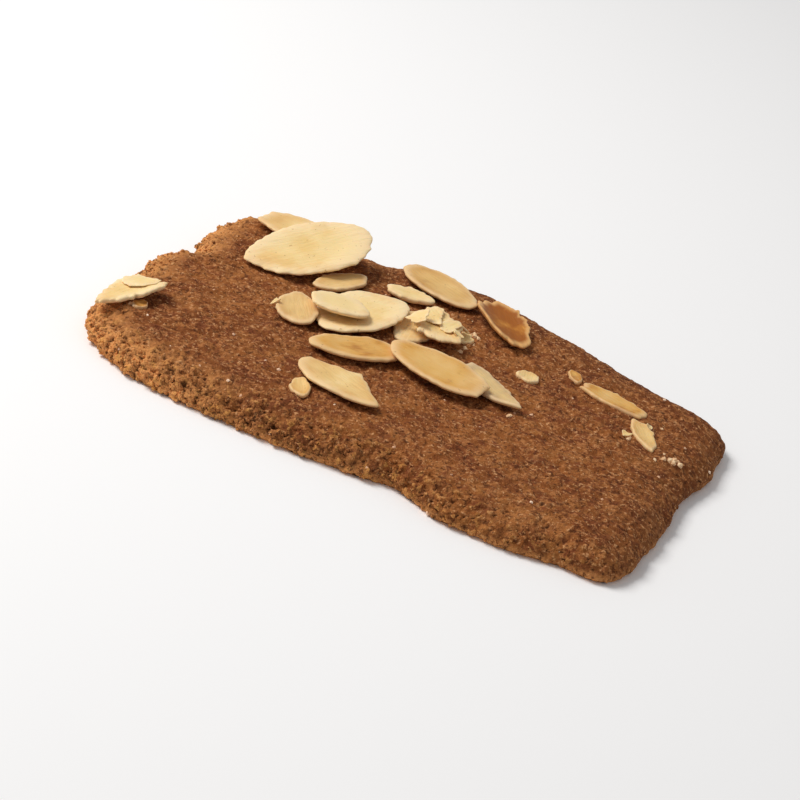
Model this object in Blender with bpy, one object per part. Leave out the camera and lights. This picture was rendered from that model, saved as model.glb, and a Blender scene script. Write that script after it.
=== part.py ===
"""An almond speculaas: a thin, hand-cut slab of spiced dough, baked flat on a tray,
with slices of almond lying on it.

The frame: +X runs along the biscuit's long side, +Y across it, +Z up. The origin is on the
flat underside, at the middle of the whole thing. Named sizes are in millimetres, and MM
turns them into Blender's metres.
"""

import math
from collections import namedtuple

import bmesh
import bpy
import numpy as np
from mathutils import Matrix, Vector, noise
from mathutils.bvhtree import BVHTree

MM = 0.001

# The slab of dough
HALF_LENGTH = 51.0
THICKNESS = 5.4
RIM_HEIGHT = 1.9
RIM_UNEVENNESS = 0.3  # rise and fall of the rim
ROLL_WIDTH = 9.0  # how far in from the edge the top starts to roll down
ROLL_FULLNESS = 2.4  # how long the roll stays high before it drops
ROLL_STEEPNESS = 0.7  # the lower, the steeper it meets the rim
LIP_UNDERCUT = 0.7  # how far the foot of the edge is drawn in under its lip
WAVINESS = 0.35  # slow rise and fall of the top
LUMPINESS = 0.22  # lumps a few millimetres across
WAVE_SPACING = 26.0
LUMP_SPACING = 7.0
LUMPS_FADE = 2.0  # how far in from the edge the lumps reach their full height
SCALLOP = 0.55  # in and out along the cut edge
SCALLOP_SPACING = 6.5
TO_MIDDLE = (0.5, -0.4)  # moves the whole thing so that the origin is at its middle
TOP_CELLS = (56, 44, 3)  # cells of the lattice along, across and up the edge
TOWARDS_RIM = 1.25  # draws the cells of the top closer together towards the edge

# Its four corners: where the sides would meet, and how square the corner is
Corner = namedtuple("Corner", "x y squareness")
FRONT_LEFT = Corner(-48.9, -39.3, 4.8)
FRONT_RIGHT = Corner(51.1, -38.4, 9.0)
BACK_RIGHT = Corner(48.4, 28.8, 11.0)
BACK_LEFT = Corner(-50.7, 33.5, 10.0)

# Swellings (+) and notches (-) along the edge: centre, reach and how far out
Swell = namedtuple("Swell", "x y reach out")
SWELLS = (
    Swell(-4.0, 33.4, 20.0, 8.5),
    Swell(20.0, 30.4, 12.0, 2.6),
    Swell(-25.0, 32.4, 10.0, -1.2),
    Swell(5.0, -39.1, 10.0, -1.2),
    Swell(12.0, -38.6, 5.0, -2.6),
    Swell(41.5, -38.6, 5.0, -2.0),
    Swell(-51.0, -15.6, 5.0, 1.1),
    Swell(-51.0, -0.6, 7.0, 1.3),
    Swell(-51.0, 8.2, 4.0, -2.8),
    Swell(49.8, 9.8, 5.5, 0.8),
    Swell(49.5, 4.5, 4.0, -0.6),
    Swell(49.0, -2.5, 4.5, -1.0),
)

# The slices of almond. Each lies at x, y with its pointed end towards its heading (degrees
# from +X). point sharpens that end and taper draws it in, cup and bow lift the long edges and
# the ends, snaps are broken-off edges (direction in the slice's own plane, distance from its
# middle), and lean adds to the slopes it comes to rest at, along and across (degrees).
Slice = namedtuple(
    "Slice",
    "name x y heading length width point taper thickness cup bow snaps lean",
    defaults=(0.35, 0.2, 1.0, 0.4, 0.3, (), (0.0, 0.0)),
)

# Small slices and slivers, baked fast into the top
BAKED_IN = (
    Slice("crumb_by_pile", -6.4, 10.6, 100.0, 15.4, 7.8, taper=0.1, snaps=((0.0, 6.4),)),
    Slice("crumb_in_pile", 1.6, 14.4, 110.0, 4.6, 3.0, snaps=((40.0, 1.6),)),
    Slice("chip_middle", 15.1, 10.5, 104.0, 4.6, 4.4, taper=0.0),
    Slice("chip_front", -9.9, -27.2, 117.0, 6.6, 3.6, 0.1),
    Slice("sliver_root", 21.0, 17.9, 125.0, 5.2, 2.4, taper=0.0),
    Slice("sliver_long", 29.2, 15.2, 351.0, 15.0, 5.2, 0.0, 0.0, snaps=((0.0, 6.4), (180.0, 6.2))),
    Slice("sliver_short", 37.8, 7.6, 304.0, 11.6, 4.0, taper=0.0),
    Slice("chip_left", -41.4, -24.2, 100.0, 3.8, 2.6),
)

# Large slices, from the lowest to the highest, each let down onto what lies below it
LOOSE = (
    Slice("almond_slice_back_edge", -34.9, 25.6, 355.0, 21.6, 11.4, taper=0.1, snaps=((180.0, 9.6),)),
    Slice("almond_slice_under_rim", -22.4, 13.4, 69.0, 12.4, 6.2, taper=0.0),
    Slice(
        "almond_slice_leaning", -30.6, 15.9, 236.0, 24.8, 14.0,
        0.25, 0.1, cup=0.5, lean=(-5.0, -7.0),
    ),
    Slice("almond_slice_jagged", -12.1, 19.4, 186.0, 9.0, 5.8, snaps=((115.0, 2.3),)),
    Slice("almond_slice_far_edge", -9.2, 27.4, 338.0, 17.2, 9.8, cup=0.6),
    Slice("almond_slice_cupped", 5.0, 23.4, 314.0, 18.0, 8.8, cup=1.7, snaps=((0.0, 7.4),)),
    Slice("almond_slice_toasted", -9.2, -8.3, 42.0, 16.4, 9.2, 0.05, 0.0, cup=0.2, snaps=((95.0, 3.9),)),
    Slice("almond_slice_crumbled", -3.2, 11.2, 122.0, 15.0, 9.0, snaps=((60.0, 3.8), (0.0, 6.4))),
    Slice("almond_slice_palest", -14.6, 4.2, 258.0, 21.4, 13.2, 0.15, 0.05, cup=0.3),
    Slice("almond_slice_round", -22.6, -4.1, 123.0, 11.0, 7.2, 0.1, 0.15, lean=(5.0, 0.0)),
    Slice("almond_slice_on_top", -17.4, 0.4, 208.0, 11.6, 9.4, 0.1, 0.1, snaps=((0.0, 4.6),)),
    Slice("almond_slice_lifted", 12.2, -1.3, 334.0, 16.2, 6.0, bow=0.8, snaps=((180.0, 7.0),)),
    Slice("almond_slice_long", 4.2, -5.1, 174.0, 19.6, 9.4, 0.25, 0.2, snaps=((180.0, 9.1),)),
    Slice(
        "almond_slice_broken", -5.0, -21.2, 336.0, 16.8, 11.4,
        taper=0.35, snaps=((125.0, 4.2), (66.0, 3.7)),
    ),
    Slice(
        "almond_slice_left_edge", -44.5, -22.8, 259.0, 17.2, 8.0,
        taper=0.3, snaps=((180.0, 6.6), (150.0, 7.2)), lean=(0.0, -6.0),
    ),
)

SLICE_CELLS = (28, 6)  # round a slice's rim, and from its lower middle to its upper middle
BAKED_CELLS = (20, 4)
RIM_SHARPNESS = 10.0  # how flat a slice stays towards its rim
WAVES_ROUND_RIM = ((3, 0.035), (5, 0.02))  # waves round the outline, and how high for its size
TO_SLICE_RIM = 0.6  # draws the cells of a slice closer together towards its rim
BAKED_DEPTH = 0.45  # how deep a baked-in slice sits in the dough
REST_GAP = 0.38  # clearance of a slice to what it lies on, for slices that are separate
STEEPEST = 0.34  # the steepest slope a slice comes to rest at
LEAST_STEP = 0.001  # how finely that slope is found
FEELERS = 48  # directions in which a slice feels for what lies below it, and how far out
FEELER_RINGS = (0.0, 0.2, 0.4, 0.55, 0.7, 0.8, 0.9, 1.0)
ABOVE_ALL = 100.0

DOUGH_BROWN = (0.30, 0.125, 0.050, 1.0)
DOUGH_ROUGHNESS = 0.85
ALMOND_CREAM = (0.80, 0.60, 0.33, 1.0)
ALMOND_TOASTED = (0.67, 0.36, 0.13, 1.0)
ALMOND_ROUGHNESS = 0.6


# The dough


def lumps(x, y, spacing, layer):
    """Smooth random height between about -1 and 1, with lumps about spacing apart."""
    return noise.noise(Vector((x / spacing, y / spacing, layer)))


def between_corners(s, t, values):
    """Blend of four corner values, front left, front right, back right, back left."""
    front = values[0] * (1 - s) / 2 + values[1] * (1 + s) / 2
    back = values[3] * (1 - s) / 2 + values[2] * (1 + s) / 2
    return front * (1 - t) / 2 + back * (1 + t) / 2


def edge_point(s, t):
    """The cut edge at a point s, t on the rim of a square, and its outward direction."""
    corners = (FRONT_LEFT, FRONT_RIGHT, BACK_RIGHT, BACK_LEFT)
    power = between_corners(s, t, [corner.squareness for corner in corners])
    shrink = (abs(s) ** power + abs(t) ** power) ** (-1 / power)
    s, t = s * shrink, t * shrink
    x = between_corners(s, t, [corner.x for corner in corners])
    y = between_corners(s, t, [corner.y for corner in corners])
    outward = Vector((
        math.copysign(abs(s) ** (power - 1), s),
        math.copysign(abs(t) ** (power - 1), t),
    )).normalized()
    out = SCALLOP * lumps(x, y, SCALLOP_SPACING, 5.0)
    out += sum(
        swell.out * math.exp(-((x - swell.x) ** 2 + (y - swell.y) ** 2) / swell.reach**2)
        for swell in SWELLS
    )
    return Vector((x, y)) + outward * out, outward


def top_height(x, y, from_edge):
    """Height of the top, which rolls down to the rim over the last ROLL_WIDTH."""
    full = THICKNESS + WAVINESS * lumps(x, y, WAVE_SPACING, 1.0)
    rim = RIM_HEIGHT + RIM_UNEVENNESS * lumps(x, y, WAVE_SPACING / 2, 9.0)
    inward = min(from_edge / ROLL_WIDTH, 1.0)
    rise = (1 - (1 - inward) ** ROLL_FULLNESS) ** ROLL_STEEPNESS
    lump = LUMPINESS * lumps(x, y, LUMP_SPACING, 2.0) * min(from_edge / LUMPS_FADE, 1.0)
    return rim + (full - rim) * rise + lump


def mould(s, t, up):
    """Where a point of the lattice goes: s and t run from -1 to 1 and up from 0 to 1."""
    ring = max(abs(s), abs(t))
    if ring == 0.0:
        return Vector((0.0, 0.0, top_height(0.0, 0.0, HALF_LENGTH)))
    edge, outward = edge_point(s / ring, t / ring)
    reach = 1 - (1 - ring) ** TOWARDS_RIM
    if up == 1.0:
        place = edge * reach
        from_edge = (1 - reach) * edge.dot(outward)
        return Vector((*place, top_height(*place, from_edge)))
    rim = top_height(*edge, 0.0)
    drawn_in = LIP_UNDERCUT * (1 - 2 * up) ** 2 if up < 0.5 else 0.0
    return Vector((*(edge - outward * drawn_in), rim * up))


def make_lattice(cells):
    """A cube from -1 to 1 whose faces are cut into cells along each of its three edges."""
    mesh = bmesh.new()
    bmesh.ops.create_cube(mesh, size=2.0)
    for axis, count in enumerate(cells):
        others = [other for other in range(3) if other != axis]
        along = [
            edge
            for edge in mesh.edges
            if all(abs(edge.verts[0].co[o] - edge.verts[1].co[o]) < 1e-6 for o in others)
        ]
        bmesh.ops.subdivide_edges(mesh, edges=along, cuts=count - 1, use_grid_fill=True)
    return mesh


def make_dough(collection):
    mesh = make_lattice(TOP_CELLS)
    underside = [face for face in mesh.faces if face.normal.z < -0.9]
    bmesh.ops.dissolve_faces(mesh, faces=underside, use_verts=False)
    for vert in mesh.verts:
        s, t, up = vert.co
        vert.co = mould(s, t, round((up + 1) / 2, 6)) * MM
    return add_object("biscuit", mesh, collection, DOUGH_BROWN, DOUGH_ROUGHNESS)


# The almond


def slice_rim(almond, angle):
    """The rim of a slice at an angle round it: pointed ahead, round behind, snapped off."""
    ahead, aside = math.cos(angle), math.sin(angle)
    pointed = abs(aside) ** (almond.point * (1 + ahead) / 2)
    u = almond.length / 2 * ahead
    w = almond.width / 2 * aside * pointed * (1 - almond.taper * ahead)
    uneven = 1 + sum(
        height * math.sin(waves * angle + almond.heading) for waves, height in WAVES_ROUND_RIM
    )
    u, w = u * uneven, w * uneven
    for direction, distance in almond.snaps:
        turn = math.radians(direction)
        beyond = (u * math.cos(turn) + w * math.sin(turn)) / distance
        if beyond > 1:
            u, w = u / beyond, w / beyond
    return u, w


def slice_bend(almond, u, w):
    """Height of the slice's middle surface: it cups across its width and bows end to end."""
    return almond.cup * (2 * w / almond.width) ** 2 + almond.bow * (2 * u / almond.length) ** 2


def slice_point(almond, angle, ring, side):
    """A point of the slice in its own plane: ring 0 is its middle, 1 its rim."""
    u, w = (ring * value for value in slice_rim(almond, angle))
    half = almond.thickness / 2 * math.sqrt(max(0.0, 1 - ring**RIM_SHARPNESS))
    return Vector((u, w, slice_bend(almond, u, w) + side * half))


def make_slice_mesh(almond, cells):
    mesh = bmesh.new()
    around, over = cells
    bmesh.ops.create_uvsphere(mesh, u_segments=around, v_segments=over, radius=1.0)
    for vert in mesh.verts:
        x, y, z = vert.co
        ring = math.hypot(x, y)
        side = 0.0 if abs(z) < 1e-4 else math.copysign(1.0, z)
        ring = 0.0 if ring < 1e-4 else min(ring, 1.0) ** TO_SLICE_RIM
        vert.co = slice_point(almond, math.atan2(y, x), ring, side) * MM
    return mesh


def height_below(trees, x, y):
    """The highest thing below a place, or None where there is nothing."""
    start = Vector((x, y, ABOVE_ALL)) * MM
    hits = [tree.ray_cast(start, Vector((0, 0, -1)))[0] for tree in trees]
    heights = [hit.z / MM for hit in hits if hit is not None]
    return max(heights) if heights else None


def rest(almond, trees, gap):
    """The slopes and height at which a slice let down onto the trees lies lowest."""
    turn = math.radians(almond.heading)
    touching = []
    for angle in np.linspace(0, 2 * math.pi, FEELERS, endpoint=False):
        rim_u, rim_w = slice_rim(almond, angle)
        beside = 1 + gap / math.hypot(rim_u, rim_w)
        for ring in (*FEELER_RINGS, beside):
            low = slice_point(almond, angle, min(ring, 1.0), -1.0).z
            u, w = rim_u * ring, rim_w * ring
            x = almond.x + u * math.cos(turn) - w * math.sin(turn)
            y = almond.y + u * math.sin(turn) + w * math.cos(turn)
            below = height_below(trees, x, y)
            if below is not None:
                touching.append((u, w, below + gap - low))
    u, w, needed = np.array(touching).T

    def height(slopes):
        return float(np.max(needed - slopes[0] * u - slopes[1] * w))

    best, step = (0.0, 0.0), STEEPEST / 2
    while step > LEAST_STEP:
        nearby = [
            (best[0] + i * step, best[1] + j * step)
            for i in (-1, 0, 1)
            for j in (-1, 0, 1)
            if max(abs(best[0] + i * step), abs(best[1] + j * step)) <= STEEPEST
        ]
        lower = min(nearby, key=height)
        if height(lower) < height(best) - 1e-6:
            best = lower
        else:
            step /= 2
    slopes = [slope + math.tan(math.radians(more)) for slope, more in zip(best, almond.lean)]
    return slopes, height(slopes)


def place(almond, slopes, height):
    """The matrix of a slice whose plane has the two slopes, along and across itself."""
    along = Vector((1.0, 0.0, slopes[0])).normalized()
    across = Vector((0.0, 1.0, slopes[1]))
    across = (across - along * across.dot(along)).normalized()
    tilt = Matrix((along, across, along.cross(across))).transposed().to_4x4()
    turn = Matrix.Rotation(math.radians(almond.heading), 4, "Z")
    spot = Vector((almond.x, almond.y, height)) * MM
    return Matrix.Translation(spot) @ turn @ tilt


def make_slice(almond, trees, collection, gap, cells):
    matrix = place(almond, *rest(almond, trees, gap))
    colour = ALMOND_TOASTED if "toasted" in almond.name else ALMOND_CREAM
    mesh = make_slice_mesh(almond, cells)
    obj = add_object(almond.name, mesh, collection, colour, ALMOND_ROUGHNESS)
    obj.location = matrix.to_translation()
    obj.rotation_euler = matrix.to_euler()
    return obj


# Objects


def add_object(name, mesh, collection, colour, roughness):
    data = bpy.data.meshes.new(name)
    mesh.to_mesh(data)
    mesh.free()
    data.shade_smooth()
    material = bpy.data.materials.new(name)
    material.use_nodes = True
    shader = material.node_tree.nodes["Principled BSDF"]
    shader.inputs["Base Color"].default_value = colour
    shader.inputs["Roughness"].default_value = roughness
    data.materials.append(material)
    obj = bpy.data.objects.new(name, data)
    collection.objects.link(obj)
    return obj


def add_collection(name):
    collection = bpy.data.collections.new(name)
    bpy.context.scene.collection.children.link(collection)
    return collection


def tree_of(obj):
    bpy.context.view_layer.update()
    corners = [obj.matrix_world @ vert.co for vert in obj.data.vertices]
    return BVHTree.FromPolygons(corners, [face.vertices for face in obj.data.polygons])


def fuse(obj, collection):
    """Joins the collection's objects onto obj, then removes them."""
    union = obj.modifiers.new("fused", "BOOLEAN")
    union.operation = "UNION"
    union.operand_type = "COLLECTION"
    union.collection = collection
    union.solver = "EXACT"
    graph = bpy.context.evaluated_depsgraph_get()
    fused = bpy.data.meshes.new_from_object(obj.evaluated_get(graph))
    obj.modifiers.remove(union)
    obj.data = fused
    fused.shade_smooth()
    for piece in list(collection.objects):
        bpy.data.objects.remove(piece)
    bpy.data.collections.remove(collection)


def main():
    for obj in list(bpy.data.objects):
        bpy.data.objects.remove(obj)
    scene = bpy.context.scene
    scene.unit_settings.system = "METRIC"
    scene.unit_settings.length_unit = "MILLIMETERS"

    biscuit_parts = add_collection("almond speculaas")
    baked_in = add_collection("baked in")
    biscuit = make_dough(biscuit_parts)
    dough = [tree_of(biscuit)]
    for almond in BAKED_IN:
        make_slice(almond, dough, baked_in, -BAKED_DEPTH, BAKED_CELLS)
    bpy.context.view_layer.update()
    fuse(biscuit, baked_in)

    trees = [tree_of(biscuit)]
    for almond in LOOSE:
        obj = make_slice(almond, trees, biscuit_parts, REST_GAP, SLICE_CELLS)
        trees.append(tree_of(obj))

    middle = bpy.data.objects.new("middle_of_underside", None)
    biscuit_parts.objects.link(middle)
    for obj in biscuit_parts.objects:
        if obj.type == "MESH":
            obj.parent = middle
    middle.location = Vector((*TO_MIDDLE, 0.0)) * MM


main()
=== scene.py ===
"""The looks of an almond speculaas, built round its CAD model: the baked dough with its crumbly
rim, the slices of almond lying on it, and the crumbs and sugar between them.

Sizes are in millimetres, in the CAD model's frame, and MM turns them into Blender's metres.
"""

import math
from collections import namedtuple

import bmesh
import bpy
import numpy as np
from mathutils import Matrix, Vector, noise
from mathutils.bvhtree import BVHTree


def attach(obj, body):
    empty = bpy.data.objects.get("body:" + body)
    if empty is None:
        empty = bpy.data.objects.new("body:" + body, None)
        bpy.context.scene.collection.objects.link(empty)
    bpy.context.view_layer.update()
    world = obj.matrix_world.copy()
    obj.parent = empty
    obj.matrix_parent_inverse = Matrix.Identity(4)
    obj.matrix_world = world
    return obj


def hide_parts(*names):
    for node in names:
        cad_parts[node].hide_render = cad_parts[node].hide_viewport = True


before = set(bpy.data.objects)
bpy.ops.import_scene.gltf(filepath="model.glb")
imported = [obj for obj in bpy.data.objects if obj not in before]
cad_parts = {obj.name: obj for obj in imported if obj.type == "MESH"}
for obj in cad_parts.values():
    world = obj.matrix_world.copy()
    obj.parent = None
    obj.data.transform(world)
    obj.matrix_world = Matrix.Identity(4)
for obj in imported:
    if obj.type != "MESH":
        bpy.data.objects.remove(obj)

MM = 0.001

# The slab of dough, as in the CAD model
HALF_LENGTH = 51.0
THICKNESS = 5.4
RIM_HEIGHT = 1.9
RIM_UNEVENNESS = 0.3
ROLL_WIDTH = 9.0
ROLL_FULLNESS = 2.4
ROLL_STEEPNESS = 0.7
LIP_UNDERCUT = 0.7
WAVINESS = 0.35
LUMPINESS = 0.22
WAVE_SPACING = 26.0
LUMP_SPACING = 7.0
LUMPS_FADE = 2.0
SCALLOP = 0.55
SCALLOP_SPACING = 6.5
TO_MIDDLE = (0.5, -0.4)  # moves the whole cookie so that the origin is below its middle
TOWARDS_RIM = 1.25  # above 1, the cells grow narrower towards the rim
UNDERSIDE_CELLS = (80, 62, 2)  # along, across and up the edge
FINER = 4  # cells of the top and the edge for each of these

Corner = namedtuple("Corner", "x y squareness")  # 2 is round, and higher is squarer
FRONT_LEFT = Corner(-48.9, -39.3, 4.8)
FRONT_RIGHT = Corner(51.1, -38.4, 9.0)
BACK_RIGHT = Corner(48.4, 28.8, 11.0)
BACK_LEFT = Corner(-50.7, 33.5, 10.0)

# Where the edge swells out, or is drawn in where out is below 0
Swell = namedtuple("Swell", "x y reach out")
SWELLS = (
    Swell(-4.0, 33.4, 20.0, 8.5),
    Swell(20.0, 30.4, 12.0, 2.6),
    Swell(-25.0, 32.4, 10.0, -1.2),
    Swell(5.0, -39.1, 10.0, -1.2),
    Swell(12.0, -38.6, 5.0, -2.6),
    Swell(41.5, -38.6, 5.0, -2.0),
    Swell(-51.0, -15.6, 5.0, 1.1),
    Swell(-51.0, -0.6, 7.0, 1.3),
    Swell(-51.0, 8.2, 4.0, -2.8),
    Swell(49.8, 9.8, 5.5, 0.8),
    Swell(49.5, 4.5, 4.0, -0.6),
    Swell(49.0, -2.5, 4.5, -1.0),
)

# The crumbly rim, which is roughest on the side that faces SMOOTH_SIDE least
CRUMBLY_WIDTH, CRUMBLY_FALL = 7.0, 1.3
CRUMBLY_MEAN, CRUMBLY_SWING = 0.5, 0.45
# SMOOTH_SIDE also faces away from the key light, and the rim on that side takes painted shade
SMOOTH_SIDE = Vector((0.6, 0.8))
FIRMER_FROM, FIRMER_WIDTH, FIRMER_SHARE = 2.0, 34.0, 0.6  # it crumbles less towards the right
CALM_FOOT = 0.5  # the relief fades out over this height above the flat underside

# The crust baked lighter at the foot of the edge and in patches of the rim, and is painted lighter at the
# left end
LIT_LEFT_FROM, LIT_LEFT_WIDTH = -12.0, 22.0
GOLDEN_FOOT = 1.8
GOLDEN_ELSEWHERE, GOLDEN_PATCHES, GOLDEN_SPACING = 0.06, 0.5, 9.0
PAINTED_SHADE_WIDTH = 17.0  # how far in from the edge turned from the key light the painted shade reaches
PAINTED_SHADE_CALM = 0.65  # how much of its lumps and grains the dough lost under the painted shade, most where it is darkest

RELIEF = {
    "Lump spacing": 3.2 * MM, "Lump height": 1.3 * MM,
    "Grain spacing": 1.3 * MM, "Grain height": 1.3 * MM,
    "Crag spacing": 1.3 * MM, "Crag height": 2.2 * MM,
    "Pit spacing": 1.0 * MM, "Pit depth": 0.6 * MM,
}
PIT_FROM, PIT_FULL = 0.15, 0.22  # the noise above its middle where a pit starts, and is full
MORE_PITS = 0.09  # what that noise gains where it is crumbly
PIT_DEPTHS = (0.3, 0.8)  # the share of their depth that all pits have, and what crumbly ones add

# Flakes broken off the slices, as thin as paper: place, heading, length, width and two broken
# sides, as directions in the flake's own plane
Flake = namedtuple("Flake", "x y heading length width broken")
FLAKES = (
    Flake(-4.6, 12.6, 130.0, 8.0, 5.6, (20.0, 250.0)),
    Flake(-0.6, 10.8, 75.0, 6.4, 4.4, (150.0, 280.0)),
    Flake(-5.2, 8.0, 170.0, 6.0, 4.8, (60.0, 200.0)),
    Flake(1.0, 14.2, 20.0, 4.0, 2.6, (100.0, 330.0)),
    Flake(1.4, 9.4, 140.0, 3.0, 2.0, (40.0, 160.0)),
    Flake(35.2, 5.4, 60.0, 2.8, 2.0, (30.0, 150.0)),
    Flake(-44.3, -18.7, 250.0, 9.0, 5.6, (100.0, 200.0)),
    Flake(37.2, 11.4, 100.0, 2.8, 1.4, (30.0, 180.0)),
    Flake(-26.0, -4.9, 190.0, 2.8, 1.4, (90.0, 220.0)),
)
FLAKE_SNAP = 0.32  # how far from the middle of a flake its sides broke off, for its size
FLAKE_THICKNESS = 0.35

# The slices of almond, as in the CAD model: how pointed and how narrow each is ahead, how far its
# sides cup and its ends bow up, and the directions and distances of its straight breaks
Slice = namedtuple(
    "Slice",
    "name x y heading length width point taper thickness cup bow snaps",
    defaults=(0.35, 0.2, 1.0, 0.4, 0.3, ()),
)
BAKED_IN = (
    Slice("crumb_by_pile", -6.4, 10.6, 100.0, 15.4, 7.8, taper=0.1, snaps=((0.0, 6.4),)),
    Slice("crumb_in_pile", 1.6, 14.4, 110.0, 4.6, 3.0, snaps=((40.0, 1.6),)),
    Slice("chip_middle", 15.1, 10.5, 104.0, 4.6, 4.4, taper=0.0),
    Slice("chip_front", -9.9, -27.2, 117.0, 6.6, 3.6, 0.1),
    Slice("sliver_root", 21.0, 17.9, 125.0, 5.2, 2.4, taper=0.0),
    Slice("sliver_long", 29.2, 15.2, 351.0, 15.0, 5.2, 0.0, 0.0, snaps=((0.0, 6.4), (180.0, 6.2))),
    Slice("sliver_short", 37.8, 7.6, 304.0, 11.6, 4.0, taper=0.0),
    Slice("chip_left", -41.4, -24.2, 100.0, 3.8, 2.6),
)
LOOSE = (
    Slice("almond_slice_back_edge", -34.9, 25.6, 355.0, 21.6, 11.4, taper=0.1, snaps=((180.0, 9.6),)),
    Slice("almond_slice_under_rim", -22.4, 13.4, 69.0, 12.4, 6.2, taper=0.0),
    Slice("almond_slice_leaning", -30.6, 15.9, 236.0, 24.8, 14.0, 0.25, 0.1, cup=0.5),
    Slice("almond_slice_jagged", -12.1, 19.4, 186.0, 9.0, 5.8, snaps=((115.0, 2.3),)),
    Slice("almond_slice_far_edge", -9.2, 27.4, 338.0, 17.2, 9.8, cup=0.6),
    Slice("almond_slice_cupped", 5.0, 23.4, 314.0, 18.0, 8.8, cup=1.7, snaps=((0.0, 7.4),)),
    Slice("almond_slice_toasted", -9.2, -8.3, 42.0, 16.4, 9.2, 0.05, 0.0, cup=0.2, snaps=((95.0, 3.9),)),
    Slice("almond_slice_crumbled", -3.2, 11.2, 122.0, 15.0, 9.0, snaps=((60.0, 3.8), (0.0, 6.4))),
    Slice("almond_slice_palest", -14.6, 4.2, 258.0, 21.4, 13.2, 0.15, 0.05, cup=0.3),
    Slice("almond_slice_round", -22.6, -4.1, 123.0, 11.0, 7.2, 0.1, 0.15),
    Slice("almond_slice_on_top", -17.4, 0.4, 208.0, 11.6, 9.4, 0.1, 0.1, snaps=((0.0, 4.6),)),
    Slice("almond_slice_lifted", 12.2, -1.3, 334.0, 16.2, 6.0, bow=0.8, snaps=((180.0, 7.0),)),
    Slice("almond_slice_long", 4.2, -5.1, 174.0, 19.6, 9.4, 0.25, 0.2, snaps=((180.0, 9.1),)),
    Slice(
        "almond_slice_broken", -5.0, -21.2, 336.0, 16.8, 11.4,
        taper=0.35, snaps=((125.0, 4.2), (66.0, 3.7)),
    ),
    Slice(
        "almond_slice_left_edge", -44.5, -22.8, 259.0, 17.2, 8.0,
        taper=0.3, snaps=((180.0, 6.6), (150.0, 7.2)),
    ),
)
RIM_SHARPNESS = 10.0
WAVES_ROUND_RIM = ((3, 0.035), (5, 0.02))
TO_SLICE_RIM = 0.6  # below 1, the cells grow narrower towards the rim
SLICE_CELLS = (120, 28)  # round a slice and from its upper side to its lower
BAKED_CELLS = (64, 16)

# What is laid on the dough is tilted to fit points felt round it and further in, at these parts
# of the way from its middle to its rim
BAKED_DEPTH = 0.45
RIM_FEELERS = 24
FEELER_RINGS = (0.0, 0.3, 0.6, 0.8, 0.95)
LEAST_SHOWING = 0.05  # how far it shows above the highest grain under it
ABOVE_ALL = 100.0

# How toasted each slice is, from 0, pale cream, to 1, brown
TOASTED_SLICES = ("almond_slice_cupped", "almond_slice_toasted")
TOAST = {
    "almond_slice_back_edge": 0.28,
    "almond_slice_under_rim": 0.5,
    "almond_slice_leaning": 0.03,
    "almond_slice_jagged": 0.1,
    "almond_slice_far_edge": 0.5,
    "almond_slice_cupped": 1.03,
    "almond_slice_toasted": 0.72,
    "almond_slice_crumbled": 0.2,
    "almond_slice_palest": 0.0,
    "almond_slice_round": 0.42,
    "almond_slice_on_top": 0.0,
    "almond_slice_long": 0.5,
    "almond_slice_lifted": 0.25,
    "almond_slice_broken": 0.4,
    "almond_slice_left_edge": 0.12,
    "crumb_by_pile": 0.2,
    "crumb_in_pile": 0.15,
    "chip_front": 0.45,
    "chip_middle": 0.35,
    "sliver_short": 0.4,
}
TOAST_OF_CHIPS = 0.7
TOAST_OF_FLAKES = 0.1
# How much painted shade greys each
SHADE_GREYING = {
    "almond_slice_lifted": 0.62,
    "almond_slice_round": 0.25,
    "almond_slice_under_rim": 0.2,
    "almond_slice_far_edge": 0.15,
}
# How deeply the rim of each is nibbled
RAGGED = {
    "almond_slice_back_edge": 0.4,
    "almond_slice_leaning": 0.4,
    "almond_slice_palest": 0.35,
    "almond_slice_jagged": 0.5,
    "almond_slice_cupped": 0.8,
    "almond_slice_crumbled": 1.0,
    "almond_slice_lifted": 0.4,
    "almond_slice_broken": 0.3,
    "almond_slice_left_edge": 1.3,
    "crumb_by_pile": 0.8,
    "crumb_in_pile": 0.8,
    "sliver_long": 0.6,
    "sliver_short": 0.6,
}
LEAST_RAGGED = 0.28
FLAKE_RAGGED = 0.085  # for its length
RAGGED_SPACING, RAGGED_MEAN = 1.3, 0.4
FIBRE_RELIEF, FIBRE_SPACING, FIBRE_STRETCH = 0.05, 0.7, 5.0
SLICE_WARP, WARP_SPACING, WARP_LAYER = 0.16, 3.6, 3.0

# Scattered grains
GRAIN_SIZES = (0.45, 1.4)  # the smallest and the largest, for their size
DENTS_PER_GRAIN = 1.6
FULL_TURN = 6.28
GRAINS_ABOVE = 0.4  # none on the underside
ALMOND_HEAPS = (  # each with its x, y and reach
    (2.1, 16.9, 0.9), (3.2, 10.8, 1.1), (3.6, 13.5, 0.6), (0.1, 22.0, 0.5), (1.5, 10.8, 0.9),
    (44.2, 3.3, 1.4), (41.3, 4.5, 0.9), (36.4, 4.7, 0.7), (-41.8, -25.6, 0.6), (19.3, -6.6, 0.5),
    (40.0, 12.6, 0.7),
)
SUGAR_COLOURS = ((0.80, 0.46, 0.27), (0.98, 0.74, 0.55))
ALMOND_CRUMB_COLOURS = ((0.80, 0.49, 0.26), (0.95, 0.69, 0.42))

# The view: the camera looks at the target from this distance, turned round by azimuth and roll
VIEW_TARGET = (2.3, -12.5, 3.0)
VIEW_DISTANCE = 439.7
VIEW_AZIMUTH, VIEW_ELEVATION, VIEW_ROLL = 17.64, 25.58, 16.35
LENS, SENSOR = 121.8, 36.0

KEY_PLACE, KEY_SIZE, KEY_POWER, KEY_COLOUR = (-420, -60, 520), 300, 3.5, (1.0, 0.98, 0.95)
SKY_STRENGTH = 0.38


# Node trees


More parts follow.
